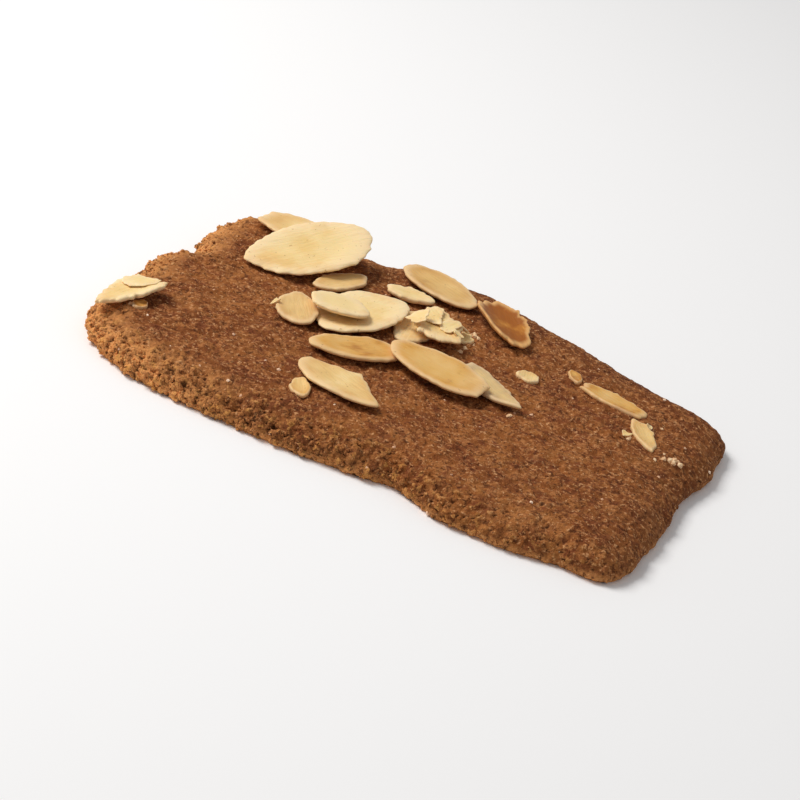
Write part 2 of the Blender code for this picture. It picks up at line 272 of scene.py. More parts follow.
def add_node(tree, kind, inputs=None, **settings):
    """A new node; inputs maps its sockets to a value or to another node's output."""
    node = tree.nodes.new(kind)
    for name, value in settings.items():
        setattr(node, name, value)
    for key, value in (inputs or {}).items():
        if isinstance(value, bpy.types.NodeSocket):
            tree.links.new(value, node.inputs[key])
        else:
            node.inputs[key].default_value = value
    return node


def calc(tree, operation, *values, clamp=False):
    """The output of a Math node."""
    node = add_node(tree, "ShaderNodeMath", dict(enumerate(values)), operation=operation)
    node.use_clamp = clamp
    return node.outputs[0]


def scaled(tree, vector, factor):
    """A vector times a number or times another node's output."""
    node = add_node(tree, "ShaderNodeVectorMath", {0: vector}, operation="SCALE")
    if isinstance(factor, bpy.types.NodeSocket):
        tree.links.new(factor, node.inputs["Scale"])
    else:
        node.inputs["Scale"].default_value = factor
    return node.outputs[0]


def cloud(tree, vector, scale, detail=2.0, roughness=0.5):
    """Smooth noise around 0.5, with this many lumps to a unit of the vector."""
    inputs = {"Vector": vector, "Scale": scale, "Detail": detail, "Roughness": roughness}
    return add_node(tree, "ShaderNodeTexNoise", inputs).outputs["Fac"]


def ramp(tree, value, low, high, out_low=0.0, out_high=1.0):
    """Runs smoothly from out_low to out_high as value goes from low to high."""
    inputs = {"Value": value, "From Min": low, "From Max": high, "To Min": out_low, "To Max": out_high}
    return add_node(tree, "ShaderNodeMapRange", inputs, interpolation_type="SMOOTHSTEP").outputs[0]


def blend(tree, factor, low, high):
    """A colour between low and high."""
    node = add_node(tree, "ShaderNodeMix", data_type="RGBA")
    for socket, value in ((node.inputs[0], factor), (node.inputs[6], low), (node.inputs[7], high)):
        if isinstance(value, bpy.types.NodeSocket):
            tree.links.new(value, socket)
        elif isinstance(value, tuple):
            socket.default_value = (*value, 1.0)
        else:
            socket.default_value = value
    return node.outputs[2]


def attribute(tree, name):
    """A float or vector stored on the mesh, in a material."""
    return add_node(tree, "ShaderNodeAttribute", attribute_name=name)


def stored(tree, name):
    """A float stored on the mesh, in a geometry tree."""
    node = add_node(tree, "GeometryNodeInputNamedAttribute", {"Name": name}, data_type="FLOAT")
    return node.outputs["Attribute"]


def shape_tree(name, **sizes):
    """A geometry tree with named inputs, its group input and its group output."""
    tree = bpy.data.node_groups.new(name, "GeometryNodeTree")
    tree.interface.new_socket("Geometry", in_out="INPUT", socket_type="NodeSocketGeometry")
    for label, value in sizes.items():
        kind = "NodeSocketInt" if isinstance(value, int) else "NodeSocketFloat"
        socket = tree.interface.new_socket(label, in_out="INPUT", socket_type=kind)
        socket.default_value = value
    tree.interface.new_socket("Geometry", in_out="OUTPUT", socket_type="NodeSocketGeometry")
    return tree, add_node(tree, "NodeGroupInput").outputs, add_node(tree, "NodeGroupOutput")


def shaped(obj, tree, **sizes):
    """The object's mesh after the tree, with these sizes for its named inputs."""
    modifier = obj.modifiers.new(tree.name, "NODES")
    modifier.node_group = tree
    for item in tree.interface.items_tree:
        if item.in_out == "INPUT" and item.name in sizes:
            modifier[item.identifier] = sizes[item.name]
    graph = bpy.context.evaluated_depsgraph_get()
    mesh = bpy.data.meshes.new_from_object(obj.evaluated_get(graph))
    obj.modifiers.remove(modifier)
    return mesh


# The form of the dough, as in the CAD model


def lumps(x, y, spacing, layer):
    """Smooth random height between about -1 and 1, with lumps about spacing apart."""
    return noise.noise(Vector((x / spacing, y / spacing, layer)))


def between_corners(s, t, values):
    """Blend of four corner values, front left, front right, back right, back left."""
    front = values[0] * (1 - s) / 2 + values[1] * (1 + s) / 2
    back = values[3] * (1 - s) / 2 + values[2] * (1 + s) / 2
    return front * (1 - t) / 2 + back * (1 + t) / 2


def edge_point(s, t):
    """The cut edge at a point s, t on the rim of a square, and its outward direction."""
    corners = (FRONT_LEFT, FRONT_RIGHT, BACK_RIGHT, BACK_LEFT)
    power = between_corners(s, t, [corner.squareness for corner in corners])
    shrink = (abs(s) ** power + abs(t) ** power) ** (-1 / power)
    s, t = s * shrink, t * shrink
    x = between_corners(s, t, [corner.x for corner in corners])
    y = between_corners(s, t, [corner.y for corner in corners])
    outward = Vector((
        math.copysign(abs(s) ** (power - 1), s),
        math.copysign(abs(t) ** (power - 1), t),
    )).normalized()
    out = SCALLOP * lumps(x, y, SCALLOP_SPACING, 5.0)
    out += sum(
        swell.out * math.exp(-((x - swell.x) ** 2 + (y - swell.y) ** 2) / swell.reach**2)
        for swell in SWELLS
    )
    return Vector((x, y)) + outward * out, outward


def top_height(x, y, from_edge):
    """Height of the top, which rolls down to the rim over the last ROLL_WIDTH."""
    full = THICKNESS + WAVINESS * lumps(x, y, WAVE_SPACING, 1.0)
    rim = RIM_HEIGHT + RIM_UNEVENNESS * lumps(x, y, WAVE_SPACING / 2, 9.0)
    inward = min(from_edge / ROLL_WIDTH, 1.0)
    rise = (1 - (1 - inward) ** ROLL_FULLNESS) ** ROLL_STEEPNESS
    lump = LUMPINESS * lumps(x, y, LUMP_SPACING, 2.0) * min(from_edge / LUMPS_FADE, 1.0)
    return rim + (full - rim) * rise + lump


def mould(s, t, up):
    """A point of the lattice on the dough, how far in it is, and the way out to the edge."""
    ring = max(abs(s), abs(t))
    if ring == 0.0:
        top = Vector((0.0, 0.0, up * top_height(0.0, 0.0, HALF_LENGTH)))
        return top, HALF_LENGTH, Vector((0.0, 0.0))
    edge, outward = edge_point(s / ring, t / ring)
    if ring < 1.0 or up == 1.0:
        reach = 1 - (1 - ring) ** TOWARDS_RIM
        place = edge * reach
        from_edge = (1 - reach) * edge.dot(outward)
        if up == 0.0:
            return Vector((*(place - outward * LIP_UNDERCUT * reach), 0.0)), from_edge, outward
        return Vector((*place, top_height(*place, from_edge))), from_edge, outward
    rim = top_height(*edge, 0.0)
    drawn_in = LIP_UNDERCUT * (1 - 2 * up) ** 2 if up < 0.5 else 0.0
    return Vector((*(edge - outward * drawn_in), rim * up)), 0.0, outward


def make_lattice():
    """A cube from -1 to 1 in cells, which are finer everywhere but on the underside."""
    mesh = bmesh.new()
    bmesh.ops.create_cube(mesh, size=2.0)
    for axis, count in enumerate(UNDERSIDE_CELLS):
        others = [other for other in range(3) if other != axis]
        along = [
            edge
            for edge in mesh.edges
            if all(abs(edge.verts[0].co[o] - edge.verts[1].co[o]) < 1e-6 for o in others)
        ]
        bmesh.ops.subdivide_edges(mesh, edges=along, cuts=count - 1, use_grid_fill=True)
    finer = {edge for face in mesh.faces if face.normal.z > -0.9 for edge in face.edges}
    bmesh.ops.subdivide_edges(mesh, edges=list(finer), cuts=FINER - 1, use_grid_fill=True)
    return mesh


def how_golden_and_lit(place):
    """How light the crust is: most at the left end, with painted light, and baked so at the foot of the
    edge.
    """
    # painted light: lighter towards the left end, the side the key light falls from
    left = min(1.0, max(0.0, (LIT_LEFT_FROM - place.x) / LIT_LEFT_WIDTH))
    foot = max(0.0, 1 - place.z / GOLDEN_FOOT)
    patch = GOLDEN_PATCHES * lumps(place.x, place.y, GOLDEN_SPACING, 4.0)
    return min(1.0, max(0.0, left + GOLDEN_ELSEWHERE + foot + patch))


def make_smooth_dough():
    """The dough before it bakes: its form, and at each point how crumbly it is, how much of the
    relief it takes, how golden it is with painted light at the left end, and how much painted shade it
    takes."""
    mesh = make_lattice()
    crumbly, crust, golden_and_lit, browned = (
        mesh.verts.layers.float.new(name) for name in ("crumbly", "crust", "golden_and_lit", "browned")
    )
    shift = Vector((*TO_MIDDLE, 0.0))
    for vert in mesh.verts:
        s, t, up = vert.co
        up = round((up + 1) / 2, 6)
        place, from_edge, outward = mould(round(s, 6), round(t, 6), up)
        near_rim = max(0.0, 1 - from_edge / CRUMBLY_WIDTH)
        facing = outward.dot(SMOOTH_SIDE)
        firmer = FIRMER_SHARE * min(1.0, max(0.0, (place.x - FIRMER_FROM) / FIRMER_WIDTH))
        roughest = (CRUMBLY_MEAN - CRUMBLY_SWING * facing) * (1 - firmer)
        vert[crumbly] = near_rim**CRUMBLY_FALL * roughest
        # painted shade: darker on the rim that faces SMOOTH_SIDE, turned away from the key light
        vert[browned] = max(0.0, 1 - from_edge / PAINTED_SHADE_WIDTH) * max(0.0, facing)
        vert[crust] = min(1.0, place.z / CALM_FOOT)
        vert[golden_and_lit] = near_rim * how_golden_and_lit(place)
        vert.co = (place + shift) * MM
    data = bpy.data.meshes.new("dough")
    mesh.to_mesh(data)
    mesh.free()
    return data


def relief_tree(material):
    """Bakes the dough: lumps and grains all over, crags and pits where it is crumbly."""
    tree, given, out = shape_tree("baked relief", **RELIEF)
    place = add_node(tree, "GeometryNodeInputPosition").outputs[0]
    normal = add_node(tree, "GeometryNodeInputNormal").outputs[0]
    crumbly, crust, browned = (stored(tree, name) for name in ("crumbly", "crust", "browned"))

    def bumps(kind, detail):
        """Noise around 0, with lumps as far apart as the kind's spacing."""
        finer = calc(tree, "DIVIDE", 1.0, given[kind + " spacing"])
        return calc(tree, "SUBTRACT", cloud(tree, place, finer, detail), 0.5)

    height = calc(tree, "MULTIPLY", bumps("Lump", 2.0), given["Lump height"])
    height = calc(tree, "MULTIPLY_ADD", bumps("Grain", 3.0), given["Grain height"], height)
    # the lumps and grains are calmer where the painted shade lies
    height = calc(tree, "MULTIPLY", height, calc(tree, "MULTIPLY_ADD", browned, -PAINTED_SHADE_CALM, 1.0))
    crags = calc(tree, "MULTIPLY", bumps("Crag", 4.0), given["Crag height"])
    height = calc(tree, "MULTIPLY_ADD", crags, crumbly, height)
    hollow = calc(tree, "MULTIPLY_ADD", crumbly, MORE_PITS, bumps("Pit", 2.0))
    pit = ramp(tree, hollow, PIT_FROM, PIT_FULL)
    deeper = calc(tree, "MULTIPLY_ADD", crumbly, PIT_DEPTHS[1], PIT_DEPTHS[0])
    pits = calc(tree, "MULTIPLY", calc(tree, "MULTIPLY", pit, given["Pit depth"]), deeper)
    height = calc(tree, "MULTIPLY", calc(tree, "SUBTRACT", height, pits), crust)
    # where the pits are, for the painted shade in them
    store = add_node(
        tree, "GeometryNodeStoreNamedAttribute",
        {"Geometry": given["Geometry"], "Name": "pit", "Value": pit}, data_type="FLOAT", domain="POINT",
    )
    moved = add_node(
        tree, "GeometryNodeSetPosition",
        {"Geometry": store.outputs[0], "Offset": scaled(tree, normal, height)},
    )
    realized = add_node(tree, "GeometryNodeRealizeInstances", {"Geometry": moved.outputs[0]})
    painted = add_node(
        tree, "GeometryNodeSetMaterial", {"Geometry": realized.outputs[0], "Material": material}
    )
    tree.links.new(painted.outputs[0], out.inputs[0])
    return tree


# The form of the almond slices, as in the CAD model


def slice_rim(almond, angle):
    """The rim of a slice at an angle round it: pointed ahead, round behind, snapped off."""
    ahead, aside = math.cos(angle), math.sin(angle)
    pointed = abs(aside) ** (almond.point * (1 + ahead) / 2)
    u = almond.length / 2 * ahead
    w = almond.width / 2 * aside * pointed * (1 - almond.taper * ahead)
    uneven = 1 + sum(
        height * math.sin(waves * angle + almond.heading) for waves, height in WAVES_ROUND_RIM
    )
    u, w = u * uneven, w * uneven
    for direction, distance in almond.snaps:
        turn = math.radians(direction)
        beyond = (u * math.cos(turn) + w * math.sin(turn)) / distance
        if beyond > 1:
            u, w = u / beyond, w / beyond
    return u, w


def nibbled_rim(almond, angle):
    """The rim with small bits broken out of it."""
    u, w = slice_rim(almond, angle)
    ragged = RAGGED.get(almond.name, LEAST_RAGGED)
    if almond.name == "flake":
        ragged = FLAKE_RAGGED * almond.length
    deep = ragged * (RAGGED_MEAN + lumps(u, w, RAGGED_SPACING, almond.heading))
    nibbled = 1 - deep / math.hypot(u, w)
    return u * nibbled, w * nibbled


def slice_bend(almond, u, w):
    """Height of the slice's middle surface: it cups across its width and bows end to end."""
    return almond.cup * (2 * w / almond.width) ** 2 + almond.bow * (2 * u / almond.length) ** 2


def how_toasted(almond):
    """Its toast, or that of all chips or all flakes."""
    return TOAST_OF_FLAKES if almond.name == "flake" else TOAST.get(almond.name, TOAST_OF_CHIPS)


def make_slice_mesh(almond, cells):
    """A slice in its own plane, with where each point lies along and across it."""
    mesh = bmesh.new()
    around, over = cells
    bmesh.ops.create_uvsphere(mesh, u_segments=around, v_segments=over, radius=1.0)
    lies = mesh.verts.layers.float_vector.new("lies")
    toast = mesh.verts.layers.float.new("toast")
    shade_grey = mesh.verts.layers.float.new("shade_grey")
    for vert in mesh.verts:
        x, y, z = vert.co
        ring = math.hypot(x, y)
        side = 0.0 if abs(z) < 1e-4 else math.copysign(1.0, z)
        ring = 0.0 if ring < 1e-4 else min(ring, 1.0) ** TO_SLICE_RIM
        u, w = (ring * value for value in nibbled_rim(almond, math.atan2(y, x)))
        half = almond.thickness / 2 * math.sqrt(max(0.0, 1 - ring**RIM_SHARPNESS))
        fibres = FIBRE_RELIEF * lumps(u / FIBRE_STRETCH, w, FIBRE_SPACING, almond.heading)
        warp = SLICE_WARP * lumps(u, w, WARP_SPACING, almond.heading + WARP_LAYER)
        vert.co = Vector((u, w, slice_bend(almond, u, w) + side * half + fibres + warp)) * MM
        vert[lies] = (u + almond.x, w + almond.y, ring)
        # how toasted it is, and how much painted shade greys it
        vert[toast], vert[shade_grey] = how_toasted(almond), SHADE_GREYING.get(almond.name, 0.0)
    return mesh


def tilt_and_height(almond, points):
    """The slopes along and across a slice and the height of its middle that fit its points best."""
    turn = math.radians(almond.heading)
    x, y = points[:, 0] - almond.x - TO_MIDDLE[0], points[:, 1] - almond.y - TO_MIDDLE[1]
    u = x * math.cos(turn) + y * math.sin(turn)
    w = y * math.cos(turn) - x * math.sin(turn)
    flat = points[:, 2] - slice_bend(almond, u, w)
    terms = np.column_stack((u, w, np.ones(len(u))))
    along, across, height = np.linalg.lstsq(terms, flat, rcond=None)[0]
    return (along, across), height


def slice_matrix(almond, slopes, height):
    """Puts a slice made in its own plane where it lies, turned and tilted."""
    along = Vector((1.0, 0.0, slopes[0])).normalized()
    across = Vector((0.0, 1.0, slopes[1]))
    across = (across - along * across.dot(along)).normalized()
    tilt = Matrix((along, across, along.cross(across))).transposed().to_4x4()
    turn = Matrix.Rotation(math.radians(almond.heading), 4, "Z")
    spot = Vector((almond.x + TO_MIDDLE[0], almond.y + TO_MIDDLE[1], height)) * MM
    return Matrix.Translation(spot) @ turn @ tilt


def make_loose_slice(almond, material):
    """The slice where the CAD model has it."""
    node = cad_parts[almond.name]
    points = np.array([vert.co for vert in node.data.vertices]) / MM
    matrix = slice_matrix(almond, *tilt_and_height(almond, points))
    return add_piece(almond.name + "_baked", make_slice_mesh(almond, SLICE_CELLS), material, matrix)


def tree_of(*objects):
    """What the slices and flakes are laid on, for finding its height."""
    corners, faces = [], []
    for obj in objects:
        faces += [[corner + len(corners) for corner in face.vertices] for face in obj.data.polygons]
        corners += [vert.co.copy() for vert in obj.data.vertices]
    return BVHTree.FromPolygons(corners, faces)


def feel_ground(almond, below, depth):
    """Where the slice's middle surface would be if it followed the ground, sunk in by depth, at
    points x, y, z with their places along and across the slice."""
    turn = math.radians(almond.heading)
    points = []
    for angle in np.linspace(0, 2 * math.pi, RIM_FEELERS, endpoint=False):
        for ring in FEELER_RINGS:
            u, w = (ring * value for value in slice_rim(almond, angle))
            x = almond.x + TO_MIDDLE[0] + u * math.cos(turn) - w * math.sin(turn)
            y = almond.y + TO_MIDDLE[1] + u * math.sin(turn) + w * math.cos(turn)
            ground = below.ray_cast(Vector((x, y, ABOVE_ALL)) * MM, Vector((0, 0, -1)))[0]
            if ground is not None:
                points.append((x, y, ground.z / MM + almond.thickness / 2 - depth, u, w))
    return np.array(points)


def laid_matrix(almond, below, depth):
    """Tilts the slice as the ground under it, and lifts it until no grain comes through it."""
    points = feel_ground(almond, below, depth)
    slopes, height = tilt_and_height(almond, points)
    bend = slice_bend(almond, points[:, 3], points[:, 4])
    plane = height + points[:, 3] * slopes[0] + points[:, 4] * slopes[1] + bend
    poking = np.max(points[:, 2] + depth - almond.thickness - plane) + LEAST_SHOWING
    return slice_matrix(almond, slopes, height + max(0.0, poking))


def make_laid_on(name, slices, below, depth, material):
    """Slices as one piece, each laid on what is below and sunk into it by depth."""
    joined = bmesh.new()
    for almond in slices:
        mesh = make_slice_mesh(almond, BAKED_CELLS)
        mesh.transform(laid_matrix(almond, below, depth))
        data = bpy.data.meshes.new(almond.name)
        mesh.to_mesh(data)
        mesh.free()
        joined.from_mesh(data)
        bpy.data.meshes.remove(data)
    return add_piece(name, joined, material, Matrix.Identity(4))


def flake_slices():
    """The flakes as slices that are broken off on two sides."""
    slices = []
    for flake in FLAKES:
        first, second = flake.broken
        snaps = ((first, FLAKE_SNAP * flake.length), (second, FLAKE_SNAP * flake.width))
        slices.append(Slice("flake", *flake[:5], 0.1, 0.1, FLAKE_THICKNESS, 0.3, 0.2, snaps))
    return slices


# Scattered crumbs


def scatter_tree(material):
    """Small uneven grains lying on the mesh, Density times its attribute to a square metre."""
    tree, given, out = shape_tree(
        "scattered grains",
        **{"Grain size": 0.4, "Unevenness": 0.5, "Density": 1e6, "Sunk": 0.0, "Seed": 1},
    )
    likely = stored(tree, "likely")
    density = calc(tree, "MULTIPLY", likely, given["Density"])
    spots = add_node(
        tree, "GeometryNodeDistributePointsOnFaces",
        {"Mesh": given["Geometry"], "Density": density, "Seed": given["Seed"]},
    )
    ball = add_node(tree, "GeometryNodeMeshIcoSphere", {"Radius": 0.5, "Subdivisions": 1})
    # Random Value has a pair of sockets for each kind of value: 0 and 1 the vector's, 2 and 3 the
    # float's
    size = add_node(
        tree, "FunctionNodeRandomValue",
        {2: GRAIN_SIZES[0], 3: GRAIN_SIZES[1], "Seed": given["Seed"]}, data_type="FLOAT",
    )
    turn = add_node(
        tree, "FunctionNodeRandomValue",
        {0: (0, 0, 0), 1: (FULL_TURN,) * 3, "Seed": given["Seed"]}, data_type="FLOAT_VECTOR",
    )
    grains = add_node(
        tree, "GeometryNodeInstanceOnPoints",
        {
            "Points": spots.outputs["Points"],
            "Instance": ball.outputs[0],
            "Rotation": turn.outputs[0],
            "Scale": calc(tree, "MULTIPLY", size.outputs[1], given["Grain size"]),
        },
    )
    realized = add_node(tree, "GeometryNodeRealizeInstances", {"Geometry": grains.outputs[0]})
    place = add_node(tree, "GeometryNodeInputPosition").outputs[0]
    normal = add_node(tree, "GeometryNodeInputNormal").outputs[0]
    finer = calc(tree, "DIVIDE", DENTS_PER_GRAIN, given["Grain size"])
    uneven = calc(tree, "SUBTRACT", cloud(tree, place, finer, 2.0), 0.5)
    deep = calc(tree, "MULTIPLY", given["Grain size"], given["Unevenness"])
    dented = scaled(tree, normal, calc(tree, "MULTIPLY", uneven, deep))
    down = add_node(tree, "ShaderNodeCombineXYZ", {"Z": calc(tree, "MULTIPLY", given["Sunk"], -1.0)})
    offset = add_node(
        tree, "ShaderNodeVectorMath", {0: dented, 1: down.outputs[0]}, operation="ADD"
    )
    moved = add_node(
        tree, "GeometryNodeSetPosition", {"Geometry": realized.outputs[0], "Offset": offset.outputs[0]}
    )
    painted = add_node(
        tree, "GeometryNodeSetMaterial", {"Geometry": moved.outputs[0], "Material": material}
    )
    tree.links.new(painted.outputs[0], out.inputs[0])
    return tree


def scatter(name, dough, material, likely, **sizes):
    """Grains over the dough, as thick as likely(x, y, crumbly) says, and none of them painted with
    the shade of a pit."""
    ground = bpy.data.objects.new(name, dough.data.copy())
    bpy.context.scene.collection.objects.link(ground)
    data = ground.data
    count = len(data.vertices)
    places, crumbly = np.empty(count * 3), np.empty(count)
    data.vertices.foreach_get("co", places)
    data.attributes["crumbly"].data.foreach_get("value", crumbly)
    x, y, z = places.reshape(-1, 3).T / MM
    chance = np.where(z > GRAINS_ABOVE, likely(x, y, crumbly), 0.0).astype(np.float32)
    data.attributes.new("likely", "FLOAT", "POINT").data.foreach_set("value", chance)
    # the grains take no painted pit shade
    data.attributes["pit"].data.foreach_set("value", np.zeros(count))
    ground.data = shaped(ground, scatter_tree(material), **sizes)
    return ground


def where_dough_crumbles(x, y, crumbly):
    return crumbly**2


def where_sugar_lies(x, y, crumbly):
    return 0.5 + crumbly


def where_almond_crumbs_lie(x, y, crumbly):
    return sum(
        np.exp(-((x - heap_x) ** 2 + (y - heap_y) ** 2) / reach**2)
        for heap_x, heap_y, reach in ALMOND_HEAPS
    )


def scatter_crumbs(dough, dough_finish):
    """The crumbs of dough, the sugar and the crumbs of almond, each with its slot."""
    sugar_finish = grain_material("sugar", *SUGAR_COLOURS)
    crumb_finish = grain_material("almond_crumb", *ALMOND_CRUMB_COLOURS)
    return {
        scatter(
            "dough_crumbs", dough, dough_finish, where_dough_crumbles,
            **{"Grain size": 0.55 * MM, "Unevenness": 1.3, "Density": 3.0e6, "Seed": 3},
        ): "dough",
        scatter(
            "sugar_specks", dough, sugar_finish, where_sugar_lies,
            **{"Grain size": 0.6 * MM, "Unevenness": 0.9, "Density": 1.0e4, "Sunk": 0.15 * MM, "Seed": 5},
        ): "dough",
        scatter(
            "almond_crumbs", dough, crumb_finish, where_almond_crumbs_lie,
            **{"Grain size": 0.8 * MM, "Unevenness": 0.9, "Density": 1.5e6, "Seed": 7},
        ): "almond",
    }


# Objects


def add_piece(name, mesh, material, matrix):
    mesh.transform(matrix)
    data = bpy.data.meshes.new(name)
    mesh.to_mesh(data)
    mesh.free()
    data.shade_smooth()
    data.materials.append(material)
    obj = bpy.data.objects.new(name, data)
    bpy.context.scene.collection.objects.link(obj)
    return obj


def make_dough(material):
    data = make_smooth_dough()
    obj = bpy.data.objects.new("dough", data)
    bpy.context.scene.collection.objects.link(obj)
    obj.data = shaped(obj, relief_tree(material), **RELIEF)
    obj.data.name = "dough"
    obj.data.shade_smooth()
    return obj


# Materials

DARKER_DOUGH, LIGHTER_DOUGH = (0.235, 0.072, 0.020), (0.325, 0.108, 0.028)
# the golden crust, which also carries the painted light at the left end, and the brown of the painted
# shade on the side turned from the key light
GOLDEN_AND_LIT_CRUST, PAINTED_SHADE_BROWN, PAINTED_SHADE_SHARE = (0.89, 0.40, 0.135), (0.125, 0.036, 0.013), 0.75
GOLD = (0.82, 0.38, 0.10)
# the dark painted into the pits as their shade
PIT_SHADE, PIT_SHADE_SHARE = (0.055, 0.016, 0.006), 0.85
# Spots on the dough: their size, the noise where they start and where they are full, what their
# place is multiplied by, so that no two noises are alike, how strong they are, and their colour
WIDE_SPOTS = (14.0, 0.4, 0.6, 1.0, 1.0)
BROAD_SPOTS = (
    (5.0, 0.47, 0.6, 0.9, 0.7, (0.41, 0.155, 0.044)),
    (4.2, 0.5, 0.62, -0.7, 0.6, (0.165, 0.044, 0.016)),
    (2.2, 0.5, 0.62, -1.0, 0.6, (0.185, 0.048, 0.019)),
)
FINE_SPOTS = (
    (1.0, 0.5, 0.62, 1.1, 0.75, (0.54, 0.22, 0.078)),
    (0.8, 0.52, 0.65, -1.3, 0.75, (0.08, 0.023, 0.009)),
    (0.65, 0.57, 0.68, 1.7, 0.9, (0.70, 0.36, 0.165)),
)
GOLDEN_SPOTS = (2.4, 0.25, 0.5, 1.5, 1.0)
GOLD_CRUMBS = (1.3, 0.54, 0.62, 2.1, 0.8)
DOUGH_BUMPS, DOUGH_BUMP_HEIGHT = 0.35, 0.4 * MM

# Almond from untoasted to brown, by its heat
ALMOND_SHADES = (
    (0.0, (0.97, 0.74, 0.41)),
    (0.25, (0.86, 0.57, 0.24)),
    (0.5, (0.76, 0.44, 0.15)),
    (0.7, (0.72, 0.37, 0.08)),
    (0.85, (0.49, 0.18, 0.02)),
    (1.0, (0.34, 0.1, 0.008)),
)
# The noises in it, from wide to fine: how many of each to a millimetre, and what it adds to the heat
SLOW_PER_MM, SLOW_HEAT = 0.1, 0.9
BLOTCHES_PER_MM, BLOTCHY_HEAT = 0.28, 0.7
FIBRES_PER_MM, FIBRES_DRAWN_OUT, FIBRE_HEAT = 2.2, 0.16, 0.25
# the grey of the painted shade on slices that lie in shade
ALMOND_SHADE_GREY = (0.46, 0.345, 0.215)
ALMOND_YELLOW, YELLOW_SHARE = (0.90, 0.66, 0.27), 0.55
PALE_RIM, PALE_RIM_SHARE = (0.94, 0.70, 0.42), 0.45
BROWNED_RIM, BROWNED_RIM_SHARE = (0.82, 0.47, 0.18), 0.85
SPECK_BROWN, SPECK_SIZE, SPECK_SHARE = (0.42, 0.22, 0.08), 0.6, 0.6


def new_material(name, roughness, specular):
    """A material with its node tree and its shader."""
    material = bpy.data.materials.new(name)
    material.use_nodes = True
    tree = material.node_tree
    shader = tree.nodes["Principled BSDF"]
    shader.inputs["Roughness"].default_value = roughness
    shader.inputs["Specular IOR Level"].default_value = specular
    return material, tree, shader


def paint(tree, shader, colour, bumps, distance):
    """Colours the shader and gives it bumps of this height."""
    tree.links.new(colour, shader.inputs["Base Color"])
    bump = add_node(tree, "ShaderNodeBump", {"Height": bumps, "Distance": distance, "Strength": 1.0})
    tree.links.new(bump.outputs[0], shader.inputs["Normal"])


def dough_material():
    """Brown in many shades, golden where it baked so and with painted light at the left end, darker
    with painted shade on the side turned from the light, and darkest with painted shade in its pits.
    """
    material, tree, shader = new_material("baked_dough", 0.85, 0.1)
    place = scaled(tree, add_node(tree, "ShaderNodeTexCoord").outputs["Object"], 1 / MM)
    golden_and_lit = attribute(tree, "golden_and_lit").outputs["Fac"]
    browned = attribute(tree, "browned").outputs["Fac"]
    crumbly = attribute(tree, "crumbly").outputs["Fac"]
    pit = attribute(tree, "pit").outputs["Fac"]

    def spots(size, low, high, turned, share):
        """Spots of about this size, where the noise is high, as a share of a blend."""
        shade = cloud(tree, scaled(tree, place, turned), 1 / (size * abs(turned)), 3.0, 0.65)
        return ramp(tree, shade, low, high, 0.0, share)

    colour = blend(tree, spots(*WIDE_SPOTS), DARKER_DOUGH, LIGHTER_DOUGH)
    for *spot, shade in BROAD_SPOTS:
        colour = blend(tree, spots(*spot), colour, shade)
    # golden where it baked so, with painted light at the left end
    baked = calc(tree, "MULTIPLY", golden_and_lit, spots(*GOLDEN_SPOTS))
    colour = blend(tree, baked, colour, GOLDEN_AND_LIT_CRUST)
    # painted shade on the rim turned from the key light
    colour = blend(tree, calc(tree, "MULTIPLY", browned, PAINTED_SHADE_SHARE), colour, PAINTED_SHADE_BROWN)
    for *spot, shade in FINE_SPOTS:
        colour = blend(tree, spots(*spot), colour, shade)
    gold = calc(tree, "MULTIPLY", crumbly, spots(*GOLD_CRUMBS))
    colour = blend(tree, gold, colour, GOLD)
    # painted shade in the pits
    colour = blend(tree, calc(tree, "MULTIPLY", pit, PIT_SHADE_SHARE), colour, PIT_SHADE)
    paint(tree, shader, colour, cloud(tree, place, 1 / DOUGH_BUMPS, 3.0, 0.6), DOUGH_BUMP_HEIGHT)
    return material


def toasted_shade(tree, toast, *noises):
    """The almond's shade at its toast, changed by noises, each with how much it adds."""
    heat = toast
    for noise_value, share in noises:
        heat = calc(tree, "MULTIPLY_ADD", calc(tree, "SUBTRACT", noise_value, 0.5), share, heat)
    shades = add_node(tree, "ShaderNodeValToRGB", {0: heat})
    stops = shades.color_ramp.elements
    for position, colour in ALMOND_SHADES[1:-1]:
        stops.new(position).color = (*colour, 1)
    stops[0].color, stops[-1].color = (*ALMOND_SHADES[0][1], 1), (*ALMOND_SHADES[-1][1], 1)
    return shades.outputs[0]


def rim_and_middle(tree, colour, ring, toast):
    """Yellower in the middle of pale slices, and paler at the rim of all, most on a browned one."""
    middle = ramp(tree, ring, 0.85, 0.4, 0.0, YELLOW_SHARE)
    yellow = calc(tree, "MULTIPLY", middle, calc(tree, "SUBTRACT", 1.0, toast))
    colour = blend(tree, yellow, colour, ALMOND_YELLOW)
    browned = ramp(tree, toast, 0.8, 1.0)
    share = calc(tree, "MULTIPLY_ADD", browned, BROWNED_RIM_SHARE - PALE_RIM_SHARE, PALE_RIM_SHARE)
    rim = calc(tree, "MULTIPLY", ramp(tree, ring, 0.74, 0.95), share)
    return blend(tree, rim, colour, blend(tree, browned, PALE_RIM, BROWNED_RIM))


